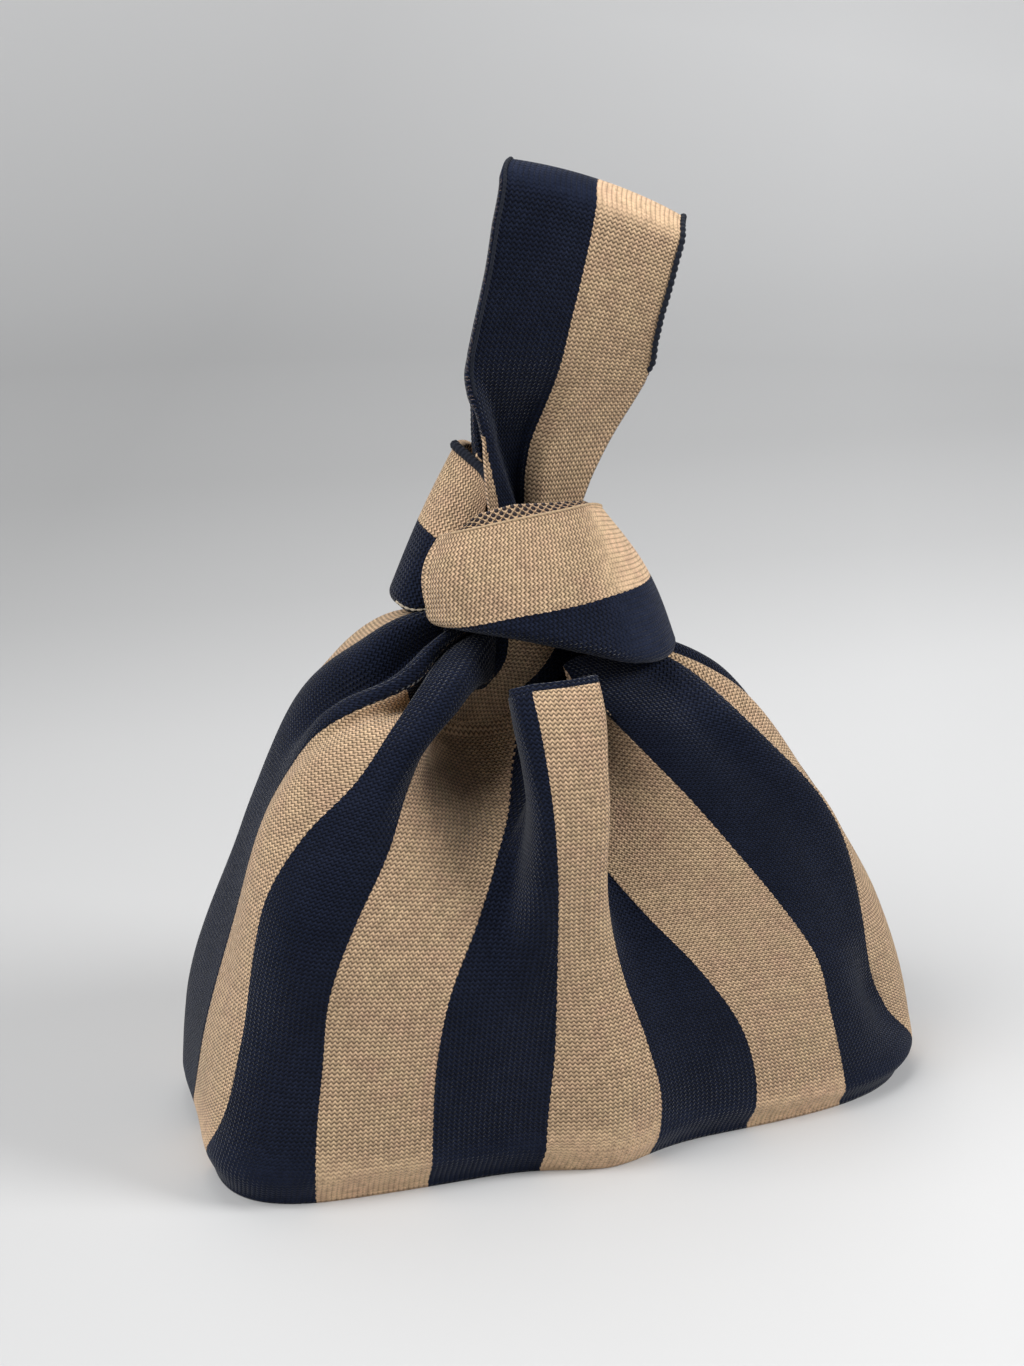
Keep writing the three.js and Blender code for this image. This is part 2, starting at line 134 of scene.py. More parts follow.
# Long handle: its depth profile, and its left edge, stripe boundary and right edge by height
HINGE = np.array([-1.5, -1.0, 178.0])
LOOP_HEIGHT, LOOP_SLOPE, LOOP_DROOP = 60.5, 8, 2
LOOP_PROFILE = [
    (-8.5, 138), (-7.0, 150), (-5.9, 160), (-5.2, 168), (-5.2, 176), (-6.3, 184), (-8.4, 194), (-10.4, 207),
    (-11.2, 220), (-10.2, 231.5), (-7.2, 236.5), (-1.0, 238.5), (3.95, 236.4), (6.0, 231.5), (7.6, 220),
    (8.0, 207), (7.0, 194), (5.4, 184), (4.6, 176), (4.8, 168), (5.4, 160), (6.4, 150), (7.5, 138),
]
FRONT_LEG = [
    (138, -12, -4.6, 4.5), (150, -13, -4.4, 6.2), (160, -16.2, -4.2, 8.6), (166, -16.9, -3.4, 11.2),
    (172, -17.2, -2.3, 14.3), (178, -17.5, -1.2, 17.6), (184, -18.8, 0, 21.0), (190, -20.0, 1.2, 24.0),
    (195, -20.7, 2.2, 25.2), (200, -20.6, 3.0, 25.4), (207, -19.4, 4.3, 26.6), (220, -16.8, 7.2, 30.2),
    (231, -15.0, 9.8, 34.4), (250, -10.2, 15, 39.6),
]
BACK_LEG = [
    (138, -12, -11, 9), (150, -13, -12.2, 9.6), (158, -16.6, -16.4, 10.2), (168, -17.2, -16.8, 12.6),
    (175, -17.2, -15.2, 16), (182, -16.4, -8, 20), (190, -16.4, -1.5, 24.6), (200, -13.6, 5.4, 28.4),
    (207, -12.2, 8.2, 30.8), (220, -9.6, 12, 34.8), (231, -9.0, 14, 37.8), (250, -5.4, 18, 42.0),
]
# Depths between which it turns from its front leg to its back leg
LOOP_TURN = (-8, 6)
# Lengthwise pleat of the front leg: where its edge lies across the strap by height, and its ridge and valley
PLEAT_EDGE = [(150, -0.25), (162, -0.31), (176, -0.69), (188, -0.87), (200, -1.05)]
PLEAT_FADE, RIDGE_SPAN, VALLEY_SPAN, VALLEY_END = (176, 200), (-0.14, 0.08), (-0.06, 0.14), (-0.15, 0.25)
RIDGE_DEPTH, VALLEY_DEPTH = 5.6, 6.0
# How the back leg's left edge wraps forward at the knot
WRAP_DEPTH, WRAP_HEIGHTS, WRAP_ACROSS = 9, (164, 184), (-0.9, -0.2)

# Short handle, from its tucked start to its tucked end: upper edge, and the line where it rolls under
BAND_STATIONS = [
    ((-20, -9.6, 154), (-21, -10.6, 143)),
    ((-25.6, -10.6, 156), (-28.5, -11.4, 140.5)),
    ((-29.6, -12.8, 157), (-33.2, -14, 139.5)),
    ((-29.0, -16, 158.4), (-32.8, -17.5, 139)),
    ((-24.0, -19.4, 160.2), (-28.0, -25.3, 140.2)),
    ((-12, -20.6, 162.2), (-15.2, -31.4, 139.0)),
    ((-1, -20.4, 163.4), (-0.3, -32.9, 134.9)),
    ((6.4, -18.6, 163.8), (13.9, -30.2, 130.0)),
    ((11, -13, 161.5), (26.5, -20.3, 126.2)),
    ((13, -4.5, 158.5), (33, -6, 124.5)),
    ((11.5, 5, 158), (30, 10, 126)),
    ((3, 12, 161), (13, 19.5, 129)),
    ((-8, 12.5, 166), (-8, 22, 132)),
    ((-15.5, 9.5, 173.5), (-26, 17, 135)),
    ((-20.7, 4, 175.2), (-36.5, 6.5, 139.5)),
    ((-18.9, -1, 173.2), (-38.0, -3, 141)),
    ((-16.4, -5, 170.8), (-33.5, -8.4, 139.5)),
    ((-15.4, -8.2, 168.5), (-21, -9.4, 141)),
]
BAND_STEPS = len(BAND_STATIONS) - 1
BAND_WIDTH, BAND_ROLL = 54, 3.2
# Width of its beige stripe and how far it bulges, by station
BAND_BEIGE = [(0, 24.5), (5.5, 24), (8.5, 22), (10, 22), (13.5, 21), (17, 21)]
BAND_BULGE = [(0, 2.6), (3.5, 2.4), (5, 1.5), (7, 1.6), (8.5, 2.6), (10, 2.6), (13, 0.8), (17, 0.8)]


def smooth(x, start, full):
    t = np.clip((np.asarray(x, float) - start) / (full - start), 0, 1)
    return t * t * (3 - 2 * t)


def hermite(f, a, b, slope_a, slope_b):
    """A smooth way from a to b, with the slope given at each end."""
    return (
        (2 * f**3 - 3 * f**2 + 1) * a + (f**3 - 2 * f**2 + f) * slope_a
        + (3 * f**2 - 2 * f**3) * b + (f**3 - f**2) * slope_b
    )


def through(stations, t):
    """A smooth curve through evenly counted stations, at t from 0 to 1."""
    points = np.asarray(stations, float)
    slopes = np.gradient(points, axis=0)
    place = np.clip(t, 0, 1) * (len(points) - 1)
    i = np.minimum(place.astype(int), len(points) - 2)
    return hermite((place - i)[:, None], points[i], points[i + 1], slopes[i], slopes[i + 1])


def superellipse(turn, half_width, half_depth, squareness):
    s, c = np.sin(2 * np.pi * turn), np.cos(2 * np.pi * turn)
    reach = (np.abs(s) ** squareness + np.abs(c) ** squareness) ** (-1 / squareness)
    return half_width * s * reach, -half_depth * c * reach


def around(sides, turn):
    front, right, back, left = sides
    s, c = np.sin(2 * np.pi * turn), np.cos(2 * np.pi * turn)
    return c * c * np.where(c > 0, front, back) + s * s * np.where(s > 0, right, left)


def trace_footprint(count=7200):
    turn = np.linspace(0, 1, count + 1)
    x, y = superellipse(turn, BASE_WIDTH / 2, BASE_DEPTH / 2, around(SQUARENESS, turn))
    y = y + BASE_SKEW * x
    x = x + BASE_SHIFT
    length = np.concatenate([[0], np.cumsum(np.hypot(np.diff(x), np.diff(y)))])
    return x, y, length


FOOT_X, FOOT_Y, FOOT_LENGTH = trace_footprint()
STRIPE = FOOT_LENGTH[-1] / STRIPES_AROUND


def footprint(turn):
    """Point and forward direction on the footprint at a share of its length."""
    at = np.mod(turn, 1) * FOOT_LENGTH[-1]
    point, before, after = (
        np.column_stack([np.interp(place, FOOT_LENGTH, side) for side in (FOOT_X, FOOT_Y)])
        for place in (at, np.mod(at - 1, FOOT_LENGTH[-1]), np.mod(at + 1, FOOT_LENGTH[-1]))
    )
    along = after - before
    return point, along / np.linalg.norm(along, axis=1)[:, None]


def stripes_between(start, end):
    return np.mod(end - start + STRIPES_AROUND / 2, STRIPES_AROUND) - STRIPES_AROUND / 2


def near(stripe, at, spread, steepness=2):
    return np.exp(-(np.abs(stripes_between(at, stripe) / spread) ** steepness))


def drift(stripe, rise):
    """How far the stripes are drawn along the body by the gathers."""
    table = np.array(DRIFT, float)
    slopes = np.gradient(table, axis=1)
    place = np.clip(stripes_between(DRIFT_FROM, stripe + 0 * rise) % STRIPES_AROUND, 0, len(table) - 1.001)
    row = place.astype(int)
    share = place - row
    at = np.clip(rise, 0, 1) * (table.shape[1] - 1)
    i = np.minimum(at.astype(int), table.shape[1] - 2)

    def edge(k):
        return hermite(at - i, table[k, i], table[k, i + 1], slopes[k, i], slopes[k, i + 1])

    return edge(row) * (1 - share) + edge(row + 1) * share


def drawn_up(stripe, rise):
    """The body without its creases, at a stripe round the bag and a share of the rise from floor to knot."""
    turn = (stripe + drift(stripe, rise) + STRIPE_OFFSET) / STRIPES_AROUND
    flat, along = footprint(turn)
    zero = np.zeros(len(flat))
    foot = np.column_stack([flat, zero])
    tangent = np.column_stack([along, zero])
    out = np.column_stack([along[:, 1], -along[:, 0], zero])
    ring_x, ring_y = superellipse(turn, ENTRY_WIDTH / 2, ENTRY_DEPTH / 2, 2)
    entry = np.column_stack([ring_x + ENTRY_X, ring_y + ENTRY_Y, around(ENTRY_HEIGHT, turn)])
    lower = foot + out * around(LOWER_BULGE, turn)[:, None]
    lower[:, 2] = around(LOWER_RISE, turn)
    shoulder = foot + (entry - foot) * around(SHOULDER_INSET, turn)[:, None]
    shoulder[:, 2] = around(SHOULDER_HEIGHT, turn)
    r = np.asarray(rise, float)[:, None]
    point = (1 - r) ** 3 * foot + 3 * r * (1 - r) ** 2 * lower + 3 * r**2 * (1 - r) * shoulder + r**3 * entry
    push = -BOTTOM_TUCK * (1 - smooth(rise, 0, BOTTOM_TUCK_REACH))
    from_peak = stripes_between(PEAK_AT, stripe)
    steepness = PEAK_STEEPNESS + PEAK_STEEPENING * smooth(rise, *PEAK_STEEPENING_SPAN)
    peak = np.exp(-(np.abs(from_peak / PEAK_SPREAD) ** steepness))
    peak = peak * smooth(rise, *PEAK_SPAN) * (1 - smooth(rise, *PEAK_CLOSING))
    push = push + PEAK_DEPTH * peak
    for at, spread, depth, a, b in FOLDS:
        push = push + depth * near(stripe, at, spread) * smooth(rise, a, b) * (1 - smooth(rise, *FOLD_FADE))
    widen = np.where(from_peak < 0, PEAK_WIDEN_LEFT, PEAK_WIDEN_RIGHT)
    point = point + tangent * (widen * from_peak * peak)[:, None]
    point[:, 2] += PEAK_LIFT * peak
    point += PEAK_LEAN * (peak * smooth(rise, *PEAK_LEAN_SPAN))[:, None]
    return point + out * push[:, None]


def square_to(surface, u, v, step=2e-3):
    """The outward direction of a surface."""
    across = surface(u + step, v) - surface(u - step, v)
    ahead = surface(u, v + step) - surface(u, v - step)
    normal = np.cross(across, ahead)
    return normal / np.maximum(np.linalg.norm(normal, axis=1), 1e-9)[:, None]


def body(stripe, rise):
    """The body's outer face with its creases."""
    crease = np.zeros(len(stripe))
    for at, spread, depth, a, b, c, d in CREASES:
        crease += depth * near(stripe, at, spread) * smooth(rise, a, b) * (1 - smooth(rise, c, d))
    point = drawn_up(stripe, rise) + square_to(drawn_up, stripe, rise) * crease[:, None]
    point[:, 2] = np.maximum(point[:, 2], 0)
    return point


def panel_top(stripe, tilt, dips):
    """How far up a panel reaches: its neckline dips between the two straps."""
    across = np.minimum(np.abs(stripe) / STRAP_INNER_EDGE, 1)
    top = 1 - (MOUTH_DIP - tilt * np.clip(stripe, -1, 1)) * (1 - across**MOUTH_SQUARENESS)
    for at, spread, depth in dips:
        top = top - depth * near(stripe, at, spread, DIP_STEEPNESS)
    return top


def spread_out(left, middle, right, across):
    """Place across a strap, from its left edge at -1 over its stripe boundary to its right edge at 1."""
    return middle + np.where(across < 0, middle - left, right - middle) * across


def leg(table, height, across):
    heights, *lines = np.transpose(table)
    return spread_out(*(np.interp(height, heights, line) for line in lines), across)


def strap(across, along):
    """The long handle's outer face, from its front foot in the knot over the loop to its back foot."""
    profile = through(LOOP_PROFILE, along)
    depth, height = profile[:, 0], profile[:, 1]
    top = LOOP_HEIGHT - LOOP_SLOPE * across - LOOP_DROOP * across**2
    z = np.where(height > HINGE[2], HINGE[2] + (height - HINGE[2]) * top / LOOP_HEIGHT, height)
    behind = smooth(depth, *LOOP_TURN)
    x = leg(FRONT_LEG, z, across) * (1 - behind) + leg(BACK_LEG, z, across) * behind
    edge = np.interp(z, *np.transpose(PLEAT_EDGE))
    pleat = (1 - smooth(z, *PLEAT_FADE)) * (1 - behind)
    ridge = 1 - smooth(across - edge, *RIDGE_SPAN)
    valley = smooth(across - edge, *VALLEY_SPAN) * (1 - smooth(across, *VALLEY_END))
    wrap = behind * (1 - smooth(z, *WRAP_HEIGHTS)) * (1 - smooth(across, *WRAP_ACROSS))
    y = depth + pleat * (VALLEY_DEPTH * valley - RIDGE_DEPTH * ridge) - WRAP_DEPTH * wrap
    return np.column_stack([x, y, z])


def band_lines(along):
    """The short handle's upper edge and its rolling line."""
    return [through([station[i] for station in BAND_STATIONS], along) for i in (0, 1)]


def band_frame(along, step=1e-3):
    """The short handle's upper edge, its directions down and out, and its length down to the rolling line."""
    upper, lower = band_lines(along)
    before, after = (sum(band_lines(along + d)) / 2 for d in (-step, step))
    forward = after - before
    down = lower - upper
    length = np.linalg.norm(down, axis=1)
    down = down / length[:, None]
    out = np.cross(down, forward)
    out /= np.linalg.norm(out, axis=1)[:, None]
    return upper, down, out, length


def by_station(table, along):
    return np.interp(along * BAND_STEPS, *np.transpose(table))


def band(along, width):
    """The short handle's outer face, at a share of its way round and a width from its upper edge."""
    upper, down, out, length = band_frame(along)
    flat = np.minimum(width, length)
    over = np.maximum(width - length, 0)
    turn = np.minimum(over / BAND_ROLL, math.pi)
    inner = np.maximum(over - math.pi * BAND_ROLL, 0)
    bulge = by_station(BAND_BULGE, along) * np.sin(math.pi * np.clip(width / length, 0, 1))
    edge = upper + down * flat[:, None] + out * bulge[:, None]
    roll = out * (BAND_ROLL * (np.cos(turn) - 1))[:, None] + down * (BAND_ROLL * np.sin(turn))[:, None]
    return edge + roll - down * inner[:, None]


def lengths(points):
    return np.concatenate([[0], np.cumsum(np.linalg.norm(np.diff(points, axis=0), axis=1))])


def grid(columns, rows):
    shape = bmesh.new()
    bmesh.ops.create_grid(shape, x_segments=columns, y_segments=rows, size=0.5)
    return shape


def as_mesh(name, shape):
    mesh = bpy.data.meshes.new(name)
    shape.to_mesh(mesh)
    shape.free()
    return mesh


def show(name, mesh, *finishes, soft=True):
    piece = bpy.data.objects.new(name, mesh)
    bpy.context.scene.collection.objects.link(piece)
    for finish in finishes:
        mesh.materials.append(finish)
    mesh.polygons.foreach_set("use_smooth", np.full(len(mesh.polygons), soft))
    return piece


def lay_out(mesh, stripe, wale, course):
    """Stripes and stitches, as two UV maps."""
    for label, count in (("stripes", stripe), ("stitches", wale)):
        layer = mesh.uv_layers.new(name=label)
        layer.data.foreach_set("uv", np.column_stack([count, course]).ravel())


def places_and_corners(mesh):
    """Where a mesh's vertices are, and the vertex of each face corner."""
    co = np.empty(len(mesh.vertices) * 3)
    mesh.vertices.foreach_get("co", co)
    corners = np.empty(len(mesh.loops), int)
    mesh.loops.foreach_get("vertex_index", corners)
    return co.reshape(-1, 3), corners


def cloth(name, surface, stitches, finishes, columns, rows, thickness=FABRIC, bend=None, fullness=None):
    """A sheet of knit: a grid moved onto a surface, with its stripes and stitches laid out on it."""
    mesh = as_mesh(name, grid(columns, rows))
    flat, corners = places_and_corners(mesh)
    u, v = flat[:, 0] + 0.5, flat[:, 1] + 0.5
    mesh.vertices.foreach_set("co", (surface(u, v) * MM).ravel())
    middle = u[corners].reshape(-1, 4).mean(1).repeat(4)
    lay_out(mesh, *stitches(u[corners], v[corners], middle))
    folded = mesh.attributes.new("bend", "FLOAT", "POINT")
    if bend is not None:
        folded.data.foreach_set("value", bend(u, v))
    piece = show(name, mesh, *finishes)
    wall = piece.modifiers.new("thickness", "SOLIDIFY")
    wall.thickness = thickness * MM
    wall.offset = -1
    wall.use_even_offset = False
    wall.material_offset = len(finishes) - 1
    if fullness is not None:
        group = piece.vertex_groups.new(name="fullness")
        for i, share in enumerate(fullness(u, v)):
            group.add([i], float(share), "REPLACE")
        wall.vertex_group = group.name
    return piece


# Knitted edges: sides, rows to a stitch, how far apart their direction is taken, and a stitch's roundness
CORD_SIDES, CORD_ROWS, CORD_REACH, CORD_ROUNDNESS = 8, 6, 0.4, 0.7
# A direction none of them runs along
CORD_SIDEWAYS = np.array([0.31, 0.94, 0.11])


def cord(name, path, radius, pitch, depth, finish):
    """A knitted edge: a tube along a path, pinched at each stitch."""
    run = lengths(path)
    rows = int(run[-1] / pitch * CORD_ROWS)
    shape = grid(CORD_SIDES, rows)
    flat = np.array([v.co for v in shape.verts])
    at = (flat[:, 1] + 0.5) * run[-1]
    turn = (flat[:, 0] + 0.5) * 2 * math.pi
    point, ahead, behind = (
        np.column_stack([np.interp(place, run, path[:, i]) for i in range(3)])
        for place in (at, np.minimum(at + CORD_REACH, run[-1]), np.maximum(at - CORD_REACH, 0))
    )
    along = ahead - behind
    along /= np.linalg.norm(along, axis=1)[:, None]
    side = np.cross(along, CORD_SIDEWAYS)
    side /= np.linalg.norm(side, axis=1)[:, None]
    other = np.cross(along, side)
    girth = radius * (1 - depth + depth * np.abs(np.sin(math.pi * at / pitch)) ** CORD_ROUNDNESS)
    place = point + side * (girth * np.cos(turn))[:, None] + other * (girth * np.sin(turn))[:, None]
    for vert, co in zip(shape.verts, place * MM):
        vert.co = co
    bmesh.ops.remove_doubles(shape, verts=shape.verts, dist=1e-6)
    bmesh.ops.recalc_face_normals(shape, faces=shape.faces)
    return show(name, as_mesh(name, shape), finish)


# Shader building
def node(tree, kind, **settings):
    made = tree.nodes.new(kind)
    for key, value in settings.items():
        setattr(made, key, value)
    return made


def calc(tree, operation, *values, clamp=False):
    """A maths node fed by sockets or plain numbers."""
    made = node(tree, "ShaderNodeMath", operation=operation, use_clamp=clamp)
    for i, value in enumerate(values):
        if isinstance(value, (int, float)):
            made.inputs[i].default_value = value
        else:
            tree.links.new(value, made.inputs[i])
    return made.outputs[0]


def mixed(tree, share, first, second, blend="MIX"):
    """A colour mix of sockets or plain colours."""
    made = node(tree, "ShaderNodeMix", data_type="RGBA", blend_type=blend, clamp_factor=True)
    for socket, value in ((made.inputs[0], share), (made.inputs[6], first), (made.inputs[7], second)):
        if isinstance(value, (int, float)):
            socket.default_value = value
        elif isinstance(value, tuple):
            socket.default_value = (*value, 1)
        else:
            tree.links.new(value, socket)
    return made.outputs[2]


def set_values(made, values):
    for label, value in values.items():
        made.inputs[label].default_value = value


def parts(tree, vector):
    """The sockets of a vector's three parts."""
    made = node(tree, "ShaderNodeSeparateXYZ")
    tree.links.new(vector, made.inputs[0])
    return made.outputs


def uv_parts(tree, label):
    return parts(tree, node(tree, "ShaderNodeUVMap", uv_map=label).outputs[0])


def object_place(tree):
    return node(tree, "ShaderNodeTexCoord").outputs["Object"]


def grey(tree, level):
    made = node(tree, "ShaderNodeCombineColor")
    for i in range(3):
        tree.links.new(level, made.inputs[i])
    return made.outputs[0]


def add_bump(tree, height, values):
    bump = node(tree, "ShaderNodeBump")
    set_values(bump, values)
    tree.links.new(height, bump.inputs["Height"])
    tree.links.new(bump.outputs[0], tree.nodes["Principled BSDF"].inputs["Normal"])


def new_finish(name):
    """A new material, its nodes and its shader."""
    finish = bpy.data.materials.new(name)
    finish.use_nodes = True
    return finish, finish.node_tree, finish.node_tree.nodes["Principled BSDF"]


# Relief of the knit: loops, ribs and the pits between them; the pits and the grooves between ribs darken the
# yarn's colour as painted shade
ARCH, LOOP_ROUNDNESS, LOOP_LEG, LOOP_HEAD = 0.46, 0.9, 0.58, 0.42
RIB_ROUNDNESS, RIB_FLOOR, ROWS_ON_RIB = 0.3, 0.25, 0.2
PIT_STEEPNESS, PIT_SHADE = 1.3, -0.9
UNEVEN_FROM, UNEVEN_RANGE = 0.85, 0.3


def stitch_group():
    """Knit relief from wale and course counts: arched loops, and plain ribs where the cloth is bent over; its
    Shade output is painted shade in the pits and grooves, times a random tone per stitch.
    """
    tree = bpy.data.node_groups.new("knit_relief", "ShaderNodeTree")
    for side, labels in (("INPUT", ("Wale", "Course", "Bend")), ("OUTPUT", ("Height", "Shade"))):
        for label in labels:
            tree.interface.new_socket(name=label, in_out=side, socket_type="NodeSocketFloat")
    given, result = node(tree, "NodeGroupInput"), node(tree, "NodeGroupOutput")
    wale, course, bend = given.outputs[:3]
    turn = calc(tree, "COSINE", calc(tree, "MULTIPLY", wale, 2 * math.pi))
    head = calc(tree, "MULTIPLY_ADD", turn, 0.5, 0.5)
    off = calc(tree, "SUBTRACT", course, calc(tree, "MULTIPLY", head, ARCH))
    off = calc(tree, "SUBTRACT", calc(tree, "FRACT", off), 0.5)
    loop = calc(tree, "COSINE", calc(tree, "MULTIPLY", off, math.pi))
    loop = calc(tree, "POWER", loop, LOOP_ROUNDNESS)
    arch = calc(tree, "MULTIPLY", loop, calc(tree, "MULTIPLY_ADD", head, LOOP_HEAD, LOOP_LEG))
    rib = calc(tree, "ABSOLUTE", calc(tree, "SINE", calc(tree, "MULTIPLY", wale, math.pi)))
    rib = calc(tree, "MULTIPLY_ADD", calc(tree, "POWER", rib, RIB_ROUNDNESS), 1 - RIB_FLOOR, RIB_FLOOR)
    rows_on_rib = calc(tree, "MULTIPLY_ADD", loop, ROWS_ON_RIB, 1 - ROWS_ON_RIB)
    rib = calc(tree, "MULTIPLY", rib, rows_on_rib)
    plain = calc(tree, "SUBTRACT", 1.0, bend)
    height = calc(tree, "ADD", calc(tree, "MULTIPLY", arch, plain), calc(tree, "MULTIPLY", rib, bend))
    # Painted shade: how deep a place lies in a pit or groove between the loops and ribs
    pit_shade_mask = calc(tree, "POWER", calc(tree, "SUBTRACT", 1.0, height, clamp=True), PIT_STEEPNESS)
    cell = node(tree, "ShaderNodeCombineXYZ")
    tree.links.new(calc(tree, "FLOOR", calc(tree, "ADD", wale, 0.5)), cell.inputs[0])
    tree.links.new(calc(tree, "FLOOR", course), cell.inputs[1])
    chance = node(tree, "ShaderNodeTexWhiteNoise", noise_dimensions="2D")
    tree.links.new(cell.outputs[0], chance.inputs["Vector"])
    uneven = calc(tree, "MULTIPLY_ADD", chance.outputs["Value"], UNEVEN_RANGE, UNEVEN_FROM)
    # The yarn's colour is darkened by painted shade in the pits and grooves, times a random tone per stitch
    shade = calc(tree, "MULTIPLY", calc(tree, "MULTIPLY_ADD", pit_shade_mask, PIT_SHADE, 1.0), uneven)
    tree.links.new(height, result.inputs[0])
    tree.links.new(shade, result.inputs[1])
    return tree


KNIT_RELIEF = stitch_group()
BEIGE, BEIGE_WARM, BEIGE_PALE = (0.69, 0.475, 0.3), (0.68, 0.445, 0.295), (0.72, 0.51, 0.315)
NAVY, NAVY_PALE = (0.0085, 0.0125, 0.0285), (0.0145, 0.0195, 0.04)
# Drift of the yarns' tone: its scales, contrast and level
BEIGE_DRIFT, BEIGE_FINE_DRIFT, NAVY_DRIFT = 38, 170, 55
DRIFT_CONTRAST, DRIFT_LEVEL = 2.4, -0.7
# Ragged edge of a stripe, strength of the reverse's dark stitches, and fibres of the edges' yarn
RAGGED_EDGE, SPECKLE = 0.006, 0.93
FIBRE_SCALE, FIBRE_SHADE = 1500, 0.55


def knit(name, colour):
    """A knitted finish: colour(tree, stripe, wale, course) gives the yarn's colour, the relief its bump and
    the painted shade of its pits and grooves.
    """
    finish, tree, shader = new_finish(name)
    stripe = uv_parts(tree, "stripes")[0]
    wale, course, _ = uv_parts(tree, "stitches")
    bend = node(tree, "ShaderNodeAttribute", attribute_name="bend")
    relief = node(tree, "ShaderNodeGroup", node_tree=KNIT_RELIEF)
    tree.links.new(wale, relief.inputs["Wale"])
    tree.links.new(course, relief.inputs["Course"])
    tree.links.new(bend.outputs["Fac"], relief.inputs["Bend"])
    plain = colour(tree, stripe, wale, course)
    # The yarn's colour times the relief's painted shade in the pits and grooves
    shaded = mixed(tree, 1.0, plain, grey(tree, relief.outputs["Shade"]), "MULTIPLY")
    tree.links.new(shaded, shader.inputs["Base Color"])
    add_bump(tree, relief.outputs["Height"], {"Strength": 0.9, "Distance": 0.0005})
    set_values(shader, {"Roughness": 0.88, "Specular IOR Level": 0.08})
    set_values(shader, {"Sheen Weight": 0.15, "Sheen Roughness": 0.25})
    return finish


def cloth_tone(tree, scale, first, second):
    """Slow drift of a yarn's tone over the cloth."""
    noise = node(tree, "ShaderNodeTexNoise")
    set_values(noise, {"Scale": scale, "Detail": 2})
    tree.links.new(object_place(tree), noise.inputs["Vector"])
    share = calc(tree, "MULTIPLY_ADD", noise.outputs[0], DRIFT_CONTRAST, DRIFT_LEVEL, clamp=True)
    return mixed(tree, share, first, second)


def beige_yarn(tree):
    broad = cloth_tone(tree, BEIGE_DRIFT, BEIGE, BEIGE_WARM)
    return cloth_tone(tree, BEIGE_FINE_DRIFT, broad, BEIGE_PALE)


def navy_yarn(tree):
    return cloth_tone(tree, NAVY_DRIFT, NAVY, NAVY_PALE)


def striped(tree, stripe, wale, course):
    step = calc(tree, "FLOORED_MODULO", calc(tree, "FLOOR", course), 2.0)
    edge = calc(tree, "MULTIPLY_ADD", step, RAGGED_EDGE, stripe)
    dark = calc(tree, "FLOORED_MODULO", calc(tree, "FLOOR", edge), 2.0)
    return mixed(tree, dark, beige_yarn(tree), navy_yarn(tree))


def speckled(tree, stripe, wale, course):
    total = calc(tree, "ADD", calc(tree, "FLOOR", wale), calc(tree, "FLOOR", course))
    dark = calc(tree, "MULTIPLY", calc(tree, "FLOORED_MODULO", total, 2.0), SPECKLE)
    return mixed(tree, dark, beige_yarn(tree), navy_yarn(tree))


STRIPED = knit("striped_knit", striped)
REVERSE = knit("speckled_reverse", speckled)
NAVY_KNIT = knit("navy_knit", lambda tree, *counts: navy_yarn(tree))
BEIGE_KNIT = knit("beige_knit", lambda tree, *counts: beige_yarn(tree))


def yarn(name, tone):
    """Plain yarn of edges and seams, with a fine twist."""
    finish, tree, shader = new_finish(name)
    fibre = node(tree, "ShaderNodeTexNoise")
    set_values(fibre, {"Scale": FIBRE_SCALE})
    tree.links.new(object_place(tree), fibre.inputs["Vector"])
    dark = tuple(FIBRE_SHADE * c for c in tone)
    tree.links.new(mixed(tree, fibre.outputs[0], dark, tone), shader.inputs["Base Color"])
    add_bump(tree, fibre.outputs[0], {"Distance": 0.0003})
    set_values(shader, {"Roughness": 0.9, "Specular IOR Level": 0.15, "Sheen Weight": 0.05})
    return finish


NAVY_YARN = yarn("navy_yarn", (0.014, 0.017, 0.027))
PALE_YARN = yarn("pale_yarn", (0.55, 0.47, 0.36))
BEIGE_YARN = yarn("beige_yarn", (0.6, 0.43, 0.27))


# First wale and course of each sheet, and wales set aside per stripe
PANEL_FIRST, EDGE_FIRST, SEAM_FIRST, ROOT_FIRST = 4000, (400, 10), 50, 10
BASE_FIRST, STRAP_FIRST, BAND_FIRST, RIM_FIRST = (400, 100), 100, (100, 50), (20, 10)
STRIPE_WALES = 40


# Body panels
def stripe_measures(samples=90, steps=24, top=1.05):
    """Places' distances across their stripes and the stripes' runs up the body, for stitches of even size."""
    rise = np.linspace(0, top, samples)
    across, runs = {}, {}
    for k in range(STRIPES_AROUND):
        wales = np.array([body(np.full(samples, k + s), rise) for s in np.linspace(-0.5, 0.5, steps + 1)])
        reach = np.cumsum(np.linalg.norm(np.diff(wales, axis=0), axis=2), axis=0)
        reach = np.vstack([np.zeros(samples), reach])
        across[k] = reach - reach[steps // 2]
        runs[k] = lengths(wales[steps // 2])
    return rise, across, runs


RISES, STRIPE_ACROSS, STRIPE_RUNS = stripe_measures()


def between(table, row, column):
    """A table's value at a place between its rows and columns."""
    i = np.clip(row.astype(int), 0, table.shape[0] - 2)
    j = np.clip(column.astype(int), 0, table.shape[1] - 2)
    f, g = row - i, column - j
    upper = table[i, j] * (1 - g) + table[i, j + 1] * g
    lower = table[i + 1, j] * (1 - g) + table[i + 1, j + 1] * g
    return upper * (1 - f) + lower * f


# The stripe whose upper end is lapped over by its neighbours: its two edges and the rise where it closes
LAPPED_LEFT, LAPPED_RIGHT, LAPPED_RISE = -4.5, -3.5, 0.785
LAPPED_UNDER = LAPPED_LEFT - 0.1


